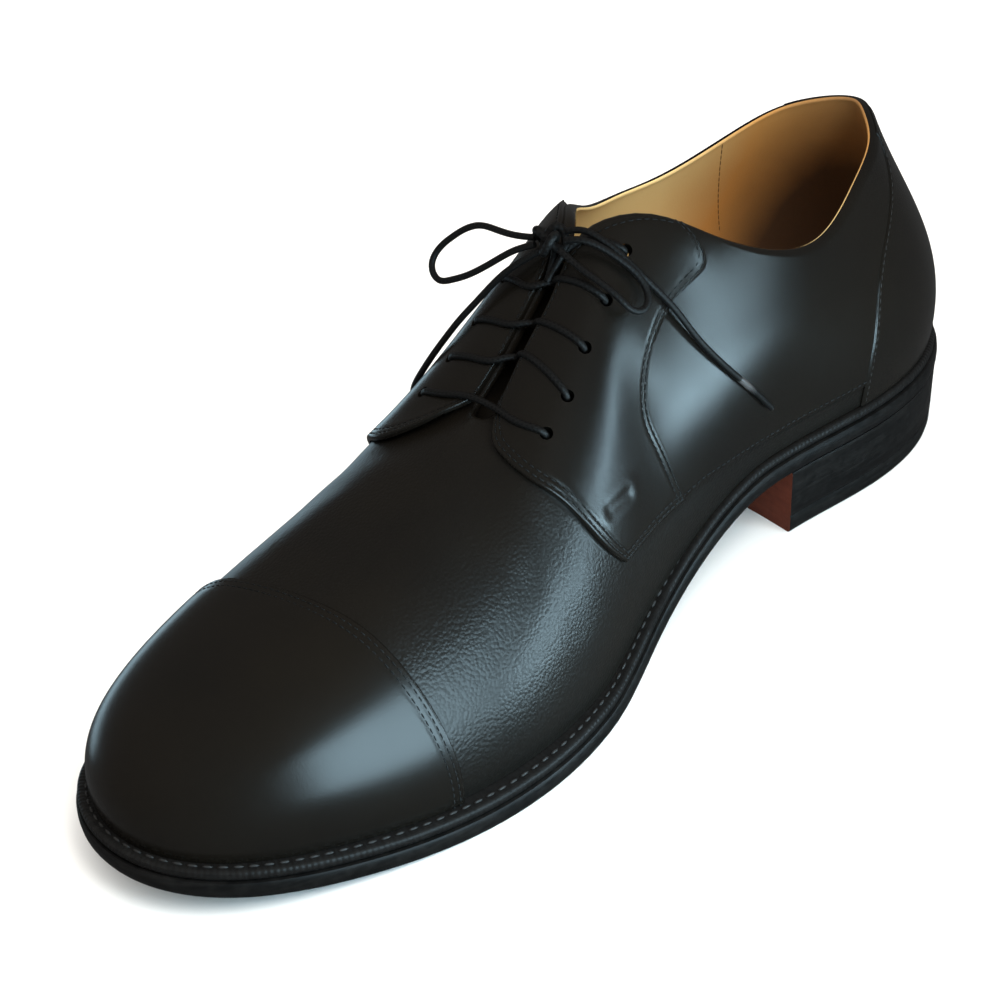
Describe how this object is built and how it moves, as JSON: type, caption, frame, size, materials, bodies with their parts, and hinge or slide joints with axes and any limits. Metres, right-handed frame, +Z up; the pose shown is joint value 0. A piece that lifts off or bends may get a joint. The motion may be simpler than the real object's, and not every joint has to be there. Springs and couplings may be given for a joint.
{
  "type": "cap toe derby shoe",
  "caption": "Black leather cap toe derby for the right foot, with a welted sole, stacked heel, open lacing over a tongue and a tied bow.",
  "frame": {"origin": "middle of the shoe's plan box, on the floor", "axes": "+X from heel to toe, +Y to the arch side, +Z up"},
  "size_m": [0.306, 0.108, 0.1116],
  "materials": {
    "smooth_leather": "satin black calf",
    "grained_leather": "soft grained black calf",
    "sole_edge": "black waxed sole edge",
    "lining": "matt tan lining",
    "lace": "round waxed black cord"
  },
  "bodies": {
    "root": {"toe_cap": "smooth_leather", "heel_counter": "smooth_leather", "facing_lateral": "smooth_leather", "facing_medial": "smooth_leather", "upper": "grained_leather", "tongue": "grained_leather", "outsole": "sole_edge", "welt": "sole_edge", "heel": "sole_edge", "insole": "lining", "lace_bar": "lace", "lace_crossing_1": "lace", "lace_crossing_2": "lace", "lace_crossing_3": "lace", "lace_knot": "lace", "lace_loop_lateral": "lace", "lace_loop_medial": "lace", "lace_end_lateral": "lace", "lace_end_medial": "lace"}
  },
  "joints": []
}
